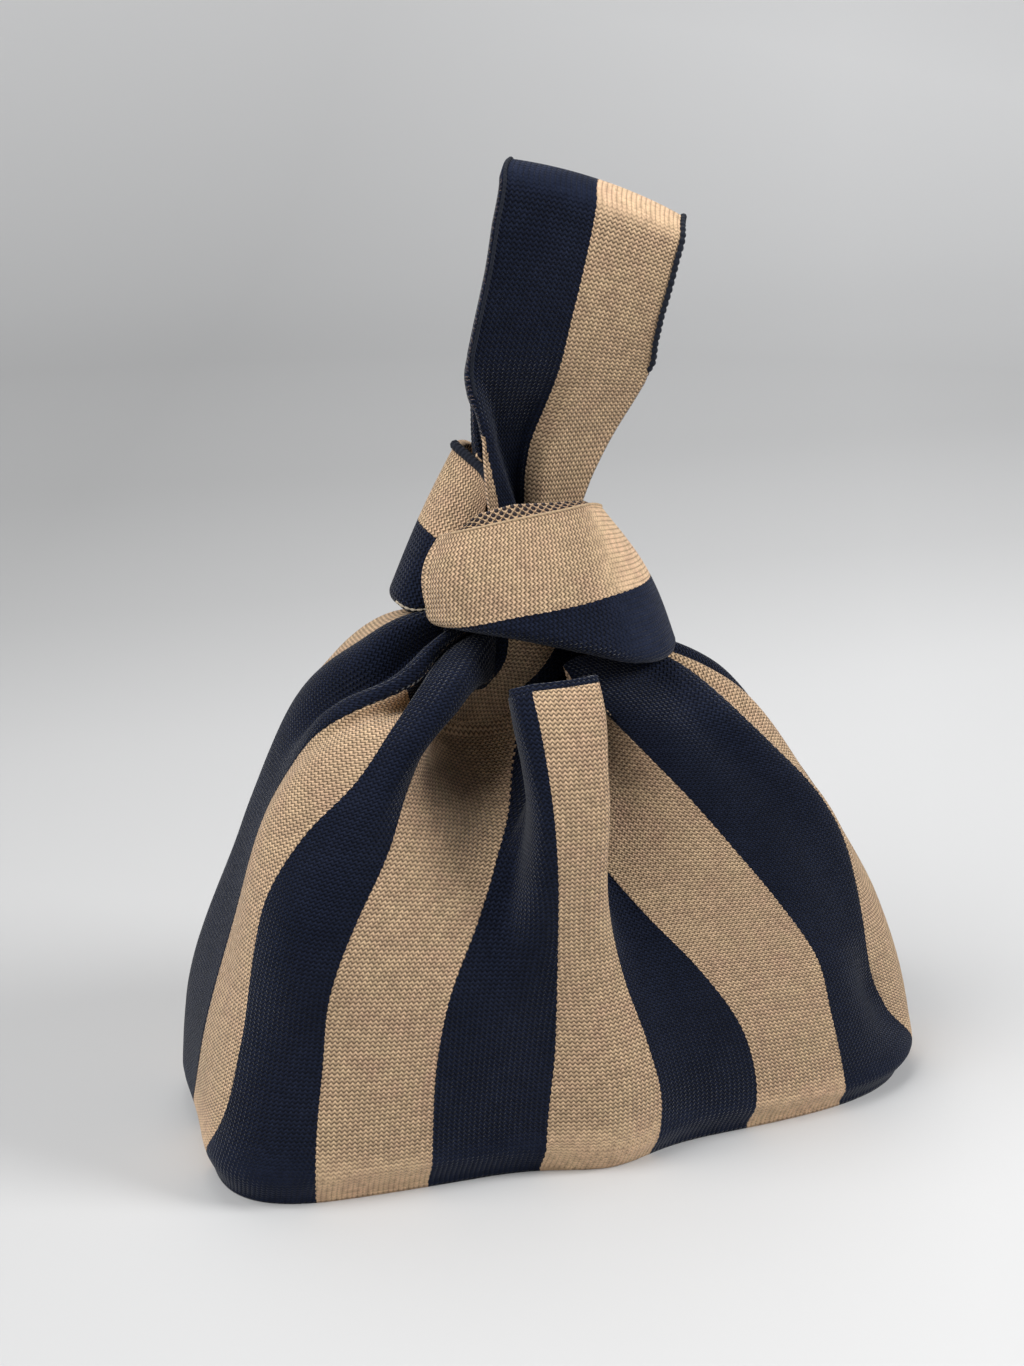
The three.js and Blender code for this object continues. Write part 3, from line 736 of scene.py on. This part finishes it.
def body_stitches(centre, half, rise_of):
    def stitches(u, v, middle):
        stripe = centre + half * (2 * u - 1)
        face = centre + half * (2 * middle - 1)
        index = np.floor(face + 0.5).astype(int)
        rise = rise_of(stripe - centre, v)
        wale, course = np.zeros(len(u)), np.zeros(len(u))
        for k in np.unique(index):
            here = index == k
            table = STRIPE_ACROSS[k % STRIPES_AROUND]
            row = (stripe[here] - k + 0.5) * (len(table) - 1)
            wale[here] = between(table, row, rise[here] / RISES[1]) / WALE + STRIPE_WALES * k
            course[here] = np.interp(rise[here], RISES, STRIPE_RUNS[k % STRIPES_AROUND]) / COURSE
        closed = (face > LAPPED_LEFT) & (face < LAPPED_RIGHT) & (rise > LAPPED_RISE)
        shown = np.where(closed, LAPPED_UNDER, stripe)
        return shown + 0.5 + 2 * STRIPES_AROUND, wale + PANEL_FIRST, course

    return stitches


# Up a panel: where the hem's ribs fade, the cloth thins to the neck, and it fills out from the hem
HEM_RIBS, HEM_RIBS_SPAN = 0.9, (0.02, 0.11)
NECK_THINNING, NECK_SPAN = 0.85, (0.6, 0.8)
HEM_FULLNESS, HEM_SPAN = 0.03, (0.006, 0.04)


def panel_fullness(u, v):
    neck = 1 - NECK_THINNING * smooth(v, *NECK_SPAN)
    return neck * (HEM_FULLNESS + (1 - HEM_FULLNESS) * smooth(v, *HEM_SPAN))


def panel(name, centre, tilt, dips, rows):
    half = STRIPES_AROUND / 4

    def rise_of(stripe, v):
        return v * panel_top(stripe, tilt, dips)

    def surface(u, v):
        stripe = half * (2 * u - 1)
        return body(centre + stripe, rise_of(stripe, v))

    def bend(u, v):
        return HEM_RIBS * (1 - smooth(v, *HEM_RIBS_SPAN))

    columns = COLUMNS_PER_STRIPE * STRIPES_AROUND // 2
    stitches = body_stitches(centre, half, rise_of)
    piece = cloth(
        name, surface, stitches, (STRIPED, REVERSE), columns, rows, bend=bend, fullness=panel_fullness
    )
    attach(piece, "bag")
    return piece


front = panel("front_cloth", FRONT_CENTRE, FRONT_TILT, FRONT_DIPS, rows=150)
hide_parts("front_panel")
back = panel("back_cloth", BACK_CENTRE, 0, [], rows=110)
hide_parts("back_panel")

# Edge rows of the necklines: how far up they reach, their stitches, and how much thicker they are
ROWS_RISE, ROWS_WALES, ROWS_COURSES, ROWS_EXTRA = 0.022, 14, 2, 0.4


def mouth_edge(name, centre, tilt, dips, first, last, columns):
    """The plain navy edge rows along a neckline."""

    def rise_of(stripe, v):
        return panel_top(stripe, tilt, dips) + v * ROWS_RISE

    def surface(u, v):
        stripe = first + (last - first) * u
        return body(centre + stripe, rise_of(stripe, v))

    def stitches(u, v, middle):
        stripe = first + (last - first) * u
        return stripe, stripe * ROWS_WALES + EDGE_FIRST[0], v * ROWS_COURSES + EDGE_FIRST[1]

    piece = cloth(name, surface, stitches, (NAVY_KNIT,), columns, rows=6, thickness=FABRIC + ROWS_EXTRA)
    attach(piece, "bag")
    return piece


front_edge = mouth_edge(
    "front_mouth_rows", FRONT_CENTRE, FRONT_TILT, FRONT_DIPS, first=-0.84, last=1.0, columns=130
)
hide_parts("front_mouth_edging")
back_edge = mouth_edge("back_mouth_rows", BACK_CENTRE, 0, [], first=-2.0, last=2.0, columns=120)
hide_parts("back_mouth_edging")


# Seam allowances, inside the cloth
SEAM_GAP, SEAM_WIDTH, SEAM_FROM, SEAM_REACH = 0.3, 7, 0.12, 0.6
SEAM_WALES, SEAM_COURSES, SEAM_THICKNESS = 5, 45, 1.4


def side_seam(name, centre):
    def surface(u, v):
        stripe = centre + (u - 0.5) * SEAM_WIDTH / STRIPE
        rise = SEAM_FROM + SEAM_REACH * v
        return body(stripe, rise) - square_to(body, stripe, rise) * (FABRIC + SEAM_GAP)

    def stitches(u, v, middle):
        return u, u * SEAM_WALES + SEAM_FIRST, v * SEAM_COURSES

    piece = cloth(name, surface, stitches, (BEIGE_KNIT,), columns=8, rows=60, thickness=SEAM_THICKNESS)
    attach(piece, "bag")
    return piece


left_seam = side_seam("left_seam_allowance", LEFT_SEAM_AT)
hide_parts("left_side_seam")
right_seam = side_seam("right_seam_allowance", RIGHT_SEAM_AT)
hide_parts("right_side_seam")


# Start of the front strap, from the body up into the knot: left edge, stripe boundary and right edge
STRAP_ROOT = [
    ((-33.0, -4.0, 107.0), (-23.0, 0.0, 100.5), (-9.0, -6.0, 103.0)),
    ((-31.0, -10.0, 115.0), (-18.0, -6.5, 112.5), (-4.5, -8.5, 110.8)),
    ((-27.0, -11.0, 123.5), (-12.3, -9.5, 121.5), (6.0, -4.5, 116.5)),
    ((-27.3, -9.0, 132.8), (-10.1, -7.0, 129.7), (16.0, 0.0, 124.0)),
]
# Its stripes across its width, the plain beige at its foot, and its stitches
ROOT_EDGES, ROOT_STRIPES = (0, 0.5, 0.8, 1), (1, 2, 3, 3.7)
ROOT_PLAIN_TO, ROOT_PLAIN_STRIPES = 0.4, (2.02, 2.98)
ROOT_WALES, ROOT_COURSES, ROOT_THICKNESS = 30, 27, 1.6


def root_surface(u, v):
    lines = (through([row[i] for row in STRAP_ROOT], v) for i in range(3))
    return spread_out(*lines, (2 * u - 1)[:, None])


def root_stitches(u, v, middle):
    stripe = np.interp(u, ROOT_EDGES, ROOT_STRIPES)
    stripe = np.where(v < ROOT_PLAIN_TO, np.clip(stripe, *ROOT_PLAIN_STRIPES), stripe)
    return stripe, u * ROOT_WALES + ROOT_FIRST, v * ROOT_COURSES + ROOT_FIRST


strap_root = cloth(
    "front_strap_root", root_surface, root_stitches, (STRIPED,),
    columns=40, rows=36, thickness=ROOT_THICKNESS,
)
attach(strap_root, "bag")


# Bottom: the panels' stripes run on under the bag
SEGMENTS_PER_STRIPE = 10
BASE_SEGMENTS = SEGMENTS_PER_STRIPE * STRIPES_AROUND
BASE_INSET = np.array([0.985, 0.97])


def bottom():
    shape = bmesh.new()
    bmesh.ops.create_circle(shape, cap_ends=True, segments=BASE_SEGMENTS, radius=1)
    stripes = np.arange(BASE_SEGMENTS) / SEGMENTS_PER_STRIPE
    inset = body(stripes, np.zeros(BASE_SEGMENTS))[:, :2] * BASE_INSET
    for vert, place in zip(shape.verts, inset * MM):
        vert.co = (*place, 0)
    bmesh.ops.solidify(shape, geom=list(shape.faces), thickness=-FABRIC * MM)
    bmesh.ops.recalc_face_normals(shape, faces=shape.faces)
    lift = -min(v.co.z for v in shape.verts)
    bmesh.ops.translate(shape, verts=shape.verts, vec=(0, 0, lift))
    mesh = as_mesh("bottom_cloth", shape)
    places, corners = places_and_corners(mesh)
    place = places[corners] / MM
    stripe = (place[:, 0] - BASE_SHIFT) / STRIPE + STRIPE_OFFSET + 0.5 + 2 * STRIPES_AROUND
    lay_out(mesh, stripe, place[:, 0] / WALE + BASE_FIRST[0], place[:, 1] / COURSE + BASE_FIRST[1])
    mesh.attributes.new("bend", "FLOAT", "POINT")
    piece = show("bottom_cloth", mesh, STRIPED, soft=False)
    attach(piece, "bag")
    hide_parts("base_panel")
    return piece


base = bottom()


# Long handle
STRAP_HALF, STRAP_WALE = 22.6, 1.26
STRAP_SHARES = np.linspace(0, 1, 400)
STRAP_RUN = lengths(strap(np.zeros(len(STRAP_SHARES)), STRAP_SHARES))
# The front leg's turned beige edge: its share across the strap, and the heights over which it runs out
TURNED_EDGE, TURNED_HEIGHTS = 0.18, (162, 180)
# Heights over which the knit comes to be bent at the loop's top
TOP_BEND = (231, 236)


def strap_stitches(u, v, middle):
    across = 2 * u - 1
    run = np.interp(v, STRAP_SHARES, STRAP_RUN)
    place = strap(across, v)
    edge = -1 + TURNED_EDGE * (1 - smooth(place[:, 2], *TURNED_HEIGHTS))
    turned = (place[:, 1] < HINGE[1]) & (across < edge)
    return across + 2 - turned, across * STRAP_HALF / STRAP_WALE + STRAP_FIRST, run / COURSE


def strap_bend(u, v):
    height = strap(2 * u - 1, v)[:, 2]
    return smooth(height + LOOP_SLOPE * (2 * u - 1), *TOP_BEND)


def strap_surface(u, v):
    return strap(2 * u - 1, v)


long_strap = cloth(
    "long_handle_strap", strap_surface, strap_stitches, (STRIPED,), columns=72, rows=220, bend=strap_bend
)
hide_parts("long_handle_front_leg", "long_handle_back_leg", "long_handle_loop")

# The strap's knitted edges: places across it, and shares of its length where they start and end
LEFT_EDGE, LEFT_EDGE_SPAN = -0.97, (0.25, 0.93)
RIGHT_EDGE, RIGHT_EDGE_SPAN = 1.01, (0.07, 0.93)
EDGE_SAMPLES = 800
# How far the right edge curls in and back near the knot, and over which heights
CURL_IN, CURL_BACK, CURL_HEIGHTS = -1.6, 2.6, (186, 196)


def strap_edge(across, span):
    return strap(np.full(EDGE_SAMPLES, across), np.linspace(*span, EDGE_SAMPLES))


def turned_back(path):
    """A strap's edge, which curls back behind the front leg near the knot."""
    curl = (1 - smooth(path[:, 2], *CURL_HEIGHTS)) * (path[:, 1] < HINGE[1])
    return path + np.column_stack([CURL_IN * curl, CURL_BACK * curl, 0 * curl])


left_path = strap_edge(LEFT_EDGE, LEFT_EDGE_SPAN)
right_path = turned_back(strap_edge(RIGHT_EDGE, RIGHT_EDGE_SPAN))
left_cord = cord("long_handle_left_cord", left_path, radius=0.5, pitch=1.2, depth=0.3, finish=NAVY_YARN)
right_cord = cord("long_handle_right_cord", right_path, radius=0.85, pitch=1.7, depth=0.45, finish=NAVY_YARN)
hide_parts("long_handle_edging_left")
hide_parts("long_handle_edging_right")


# The loop's seam, inside it: its half length across the strap, place and width along it, and stitches
JOIN_HALF, JOIN_AT, JOIN_WIDTH = 0.94, 0.525, 0.024
JOIN_WALES, JOIN_COURSES, JOIN_THICKNESS = 36, 3, 1.3


def join_surface(u, v):
    across, along = 2 * JOIN_HALF * u - JOIN_HALF, JOIN_AT + (v - 0.5) * JOIN_WIDTH
    return strap(across, along) - square_to(strap, across, along) * (FABRIC + SEAM_GAP)


def join_stitches(u, v, middle):
    return u, u * JOIN_WALES, v * JOIN_COURSES


loop_seam = cloth(
    "long_handle_seam", join_surface, join_stitches, (NAVY_KNIT,),
    columns=40, rows=6, thickness=JOIN_THICKNESS,
)
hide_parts("long_handle_join")
for piece in (long_strap, left_cord, right_cord, loop_seam):
    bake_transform(piece)


# Short handle
BAND_MIDDLE, BAND_WALE = 22.0, 1.2
BAND_SHARES = np.linspace(0, 1, 600)
BAND_RUN = lengths(band(BAND_SHARES, np.full_like(BAND_SHARES, BAND_MIDDLE)))
# How much wider than its face the tucked cloth may be
TUCK_SHARE, TUCK_SPARE = 1.6, 10
# Stations over which the knit is bent round the right side, and over which the tucked start fills out
BEND_START, BEND_END = (6.3, 7.4), (9.5, 10.5)
THIN_START, THIN_SHARE = (3.2, 4.2), 0.15


def band_width(u, v):
    """Width from the upper edge; the tucked ends are folded shorter, so they stay hidden."""
    return np.minimum(BAND_WIDTH, TUCK_SHARE * band_frame(u)[3] + TUCK_SPARE) * (1 - v)


def band_surface(u, v):
    return band(u, band_width(u, v))


def band_stitches(u, v, middle):
    width, beige = band_width(u, v), by_station(BAND_BEIGE, u)
    run = np.interp(u, BAND_SHARES, BAND_RUN)
    stripe = np.where(width < beige, width / beige, 1 + (width - beige) / (BAND_WIDTH - beige))
    return stripe + 2, width / BAND_WALE + BAND_FIRST[0], run / COURSE + BAND_FIRST[1]


def band_bend(u, v):
    station = u * BAND_STEPS
    return smooth(station, *BEND_START) * (1 - smooth(station, *BEND_END))


def band_fullness(u, v):
    return THIN_SHARE + (1 - THIN_SHARE) * smooth(u * BAND_STEPS, *THIN_START)


short_band = cloth(
    "short_handle_wrap", band_surface, band_stitches, (STRIPED, REVERSE),
    columns=260, rows=72, bend=band_bend, fullness=band_fullness,
)
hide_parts("short_handle_band")


def band_edge_path(first, last, count, width, lift):
    """A line along the short handle, between two stations."""
    along = np.linspace(first, last, count) / BAND_STEPS
    point = band(along, np.full(count, float(width)))
    return point + np.array([0, 0, lift])


# Turned upper edge: its stations, how far it stands up along its length, and its stitches
RIM_FROM, RIM_TO = 3.45, 7.2
RIM_SHARES = (0, 0.1, 0.2, 0.38, 0.62, 0.9, 1)
RIM_HEIGHTS = (0.2, 1.6, 3.2, 3.8, 2.2, 0.9, 0.3)
RIM_SET_BACK, RIM_LEAN, RIM_FOOT, RIM_THICKNESS = 1.0, 0.5, 1.2, 1.0
RIM_WALE, RIM_SLANT, RIM_COURSES, RIM_SAMPLES = 1.05, 1.5, 5, 200
RIM_RUN = lengths(band_edge_path(RIM_FROM, RIM_TO, RIM_SAMPLES, width=0, lift=0))


def rim_surface(u, v):
    along = (RIM_FROM + (RIM_TO - RIM_FROM) * u) / BAND_STEPS
    upper, down, out, _ = band_frame(along)
    height = np.interp(u, RIM_SHARES, RIM_HEIGHTS)
    back = RIM_SET_BACK + RIM_LEAN * v
    up = v * (height + RIM_FOOT) - RIM_FOOT
    return upper - out * back[:, None] - down * up[:, None]


def rim_stitches(u, v, middle):
    run = np.interp(u, np.linspace(0, 1, RIM_SAMPLES), RIM_RUN)
    return u, run / RIM_WALE + v * RIM_SLANT + RIM_FIRST[0], v * RIM_COURSES + RIM_FIRST[1]


band_rim = cloth(
    "short_handle_turned_edge", rim_surface, rim_stitches, (REVERSE,),
    columns=120, rows=10, thickness=RIM_THICKNESS,
)
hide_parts("short_handle_edging")

bead_path = band_edge_path(first=3.4, last=9.5, count=200, width=0.3, lift=0)
top_beads = cord("short_handle_top_beads", bead_path, radius=0.38, pitch=1.25, depth=0.5, finish=BEIGE_YARN)
roll_path = band_edge_path(first=14.05, last=16.9, count=160, width=0.5, lift=0.1)
back_roll = cord("short_handle_rolled_edge", roll_path, radius=1.3, pitch=COURSE, depth=0.2, finish=NAVY_YARN)

SEAM_LINE_FROM, SEAM_LINE_TO, SEAM_LINE_BELOW = 15.1, 16.7, 2.8
seam_along = np.linspace(SEAM_LINE_FROM, SEAM_LINE_TO, 60) / BAND_STEPS
seam_path = band(seam_along, band_frame(seam_along)[3] + SEAM_LINE_BELOW)
seam_line = cord("short_handle_seam_line", seam_path, radius=0.42, pitch=1.6, depth=0.75, finish=PALE_YARN)
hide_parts("short_handle_join")
for piece in (short_band, band_rim, top_beads, back_roll, seam_line):
    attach(piece, "bag")


# Studio, in metres: the paper's floor and the bend up behind it
PAPER_WIDTH, PAPER_RUN, PAPER_FRONT = 12, 6, -3
BEND_FROM, BEND_RADIUS = 0.9, 1.2
# Paper's tone by share of its run, and its level from left to right: both are painted light and shade, with
# darker and paler bands along the run, darker to the left and lighter to the right
PAPER_TONES = [
    (0.47, 0.57), (0.515, 0.58), (0.545, 0.59), (0.57, 0.53),
    (0.6, 0.52), (0.635, 0.62), (0.67, 0.67), (0.9, 0.8),
]
SIDE_SLANT, SIDE_SPAN, PAINTED_SIDE_LEVELS = -0.4, (-0.28, 0.12), (0.77, 1.06)
# Glow of the distant paper: distances where it starts and is full, and its strength there
NEAR_GLOW, FAR_GLOW = (0.85, 1.5, 0, 0.24), (1.6, 3.2, 0, 0.2)
# The floor in front shows as even paper, without the lamps' pools on it
EVEN_FROM, EVEN_FULL, EVEN_LEVEL = -0.32, -0.9, 0.62


def ranged(tree, value, start, end, low, high):
    """A value's place between start and end, given as a level between low and high."""
    made = node(tree, "ShaderNodeMapRange")
    for i, number in ((1, start), (2, end), (3, low), (4, high)):
        made.inputs[i].default_value = number
    tree.links.new(value, made.inputs[0])
    return made.outputs[0]


def seen_directly(tree):
    """1 for what the camera, or a mirror or glass in front of it, sees."""
    path = node(tree, "ShaderNodeLightPath")
    rays = [path.outputs[f"Is {kind} Ray"] for kind in ("Camera", "Glossy", "Transmission")]
    return calc(tree, "MAXIMUM", calc(tree, "MAXIMUM", rays[0], rays[1]), rays[2])


def studio():
    shape = grid(columns=1, rows=60)
    shares = [vert.co.y + 0.5 for vert in shape.verts]
    for vert in shape.verts:
        run = (vert.co.y + 0.5) * PAPER_RUN + PAPER_FRONT
        bend = max(run - BEND_FROM, 0)
        angle = min(bend / BEND_RADIUS, math.pi / 2)
        rest = max(bend - BEND_RADIUS * math.pi / 2, 0)
        y = min(run, BEND_FROM) + BEND_RADIUS * math.sin(angle)
        vert.co = (vert.co.x * PAPER_WIDTH, y, BEND_RADIUS * (1 - math.cos(angle)) + rest)
    mesh = as_mesh("sweep", shape)
    layer = mesh.uv_layers.new(name="run")
    for loop in mesh.loops:
        layer.data[loop.index].uv = (shares[loop.vertex_index], 0)
    finish, tree, shader = new_finish("pale_paper")
    # Painted light and shade along the paper's run, given as tones of its colour
    tones = node(tree, "ShaderNodeValToRGB")
    stops = tones.color_ramp.elements
    stops[0].position, stops[1].position = PAPER_TONES[0][0], PAPER_TONES[-1][0]
    for position, _ in PAPER_TONES[1:-1]:
        stops.new(position)
    for stop, (_, tone) in zip(stops, PAPER_TONES):
        stop.color = (tone, tone, tone, 1)
    tree.links.new(uv_parts(tree, "run")[0], tones.inputs[0])
    x, y, _ = parts(tree, object_place(tree))
    # Painted light and shade across the paper: darker to the left, lighter to the right; the floor in front,
    # as the camera sees it, is left even
    aside = calc(tree, "MULTIPLY_ADD", y, SIDE_SLANT, x)
    painted_side_light = ranged(tree, aside, *SIDE_SPAN, *PAINTED_SIDE_LEVELS)
    seen = seen_directly(tree)
    before = calc(tree, "MULTIPLY", seen, ranged(tree, y, EVEN_FULL, EVEN_FROM, 1, 0))
    behind = calc(tree, "SUBTRACT", 1, before)
    level = grey(tree, calc(tree, "MULTIPLY", painted_side_light, behind))
    colour = mixed(tree, 1.0, tones.outputs[0], level, "MULTIPLY")
    tree.links.new(colour, shader.inputs["Base Color"])
    squares = [calc(tree, "MULTIPLY", side, side) for side in (x, y)]
    away = calc(tree, "SQRT", calc(tree, "ADD", *squares))
    glow = calc(tree, "ADD", ranged(tree, away, *NEAR_GLOW), ranged(tree, away, *FAR_GLOW))
    glow = calc(tree, "MULTIPLY", calc(tree, "MULTIPLY", seen, glow), behind)
    tree.links.new(calc(tree, "MULTIPLY_ADD", before, EVEN_LEVEL, glow), shader.inputs["Emission Strength"])
    set_values(shader, {"Roughness": 0.9, "Specular IOR Level": 0.1, "Emission Color": (1, 1, 1, 1)})
    paper = show("sweep", mesh, finish)


def aimed(name, data, place, direction):
    """A lamp or camera that looks in a direction."""
    holder = bpy.data.objects.new(name, data)
    holder.location = place
    holder.rotation_mode = "QUATERNION"
    holder.rotation_quaternion = direction.to_track_quat("-Z", "Y")
    bpy.context.scene.collection.objects.link(holder)
    return holder


LAMPS_AIM = Vector((0, 0, 0.1))


def lamp(name, place, size, power):
    light = bpy.data.lights.new(name, "AREA")
    light.shape = "DISK"
    light.size = size
    light.energy = power
    aimed(name, light, place, LAMPS_AIM - Vector(place))


studio()
lamp("top_back", (0.0, 0.4, 1.1), size=0.8, power=4.0)
lamp("left", (-0.7, -0.2, 0.8), size=0.9, power=11.0)
lamp("right", (1.0, -0.55, 0.9), size=0.6, power=16.0)
world = bpy.data.worlds.new("soft_room")
world.use_nodes = True
room = world.node_tree
ambient = room.nodes["Background"]
set_values(ambient, {"Color": (0.92, 0.95, 1.0, 1), "Strength": 0.19})
backdrop = node(room, "ShaderNodeBackground")
set_values(backdrop, {"Color": (EVEN_LEVEL, EVEN_LEVEL, EVEN_LEVEL, 1)})
either = node(room, "ShaderNodeMixShader")
for i, socket in enumerate((seen_directly(room), ambient.outputs[0], backdrop.outputs[0])):
    room.links.new(socket, either.inputs[i])
room.links.new(either.outputs[0], room.nodes["World Output"].inputs[0])
bpy.context.scene.world = world
bpy.context.scene.view_settings.view_transform = "Standard"

# Camera: sensor in millimetres, and focal length and picture height in pixels
SENSOR, FOCAL_PIXELS, HEIGHT_PIXELS = 36, 2690, 1366
eye = bpy.data.cameras.new("eye")
eye.sensor_width = SENSOR
eye.lens = SENSOR * FOCAL_PIXELS / HEIGHT_PIXELS
azimuth, elevation, distance = math.radians(-16.5), math.radians(20), 0.68
aim = Vector((-0.0075, 0, 0.1125))
back_off = Vector(
    (math.sin(azimuth) * math.cos(elevation), -math.cos(azimuth) * math.cos(elevation), math.sin(elevation))
)
bpy.context.scene.camera = aimed("eye", eye, aim + back_off * distance, -back_off)
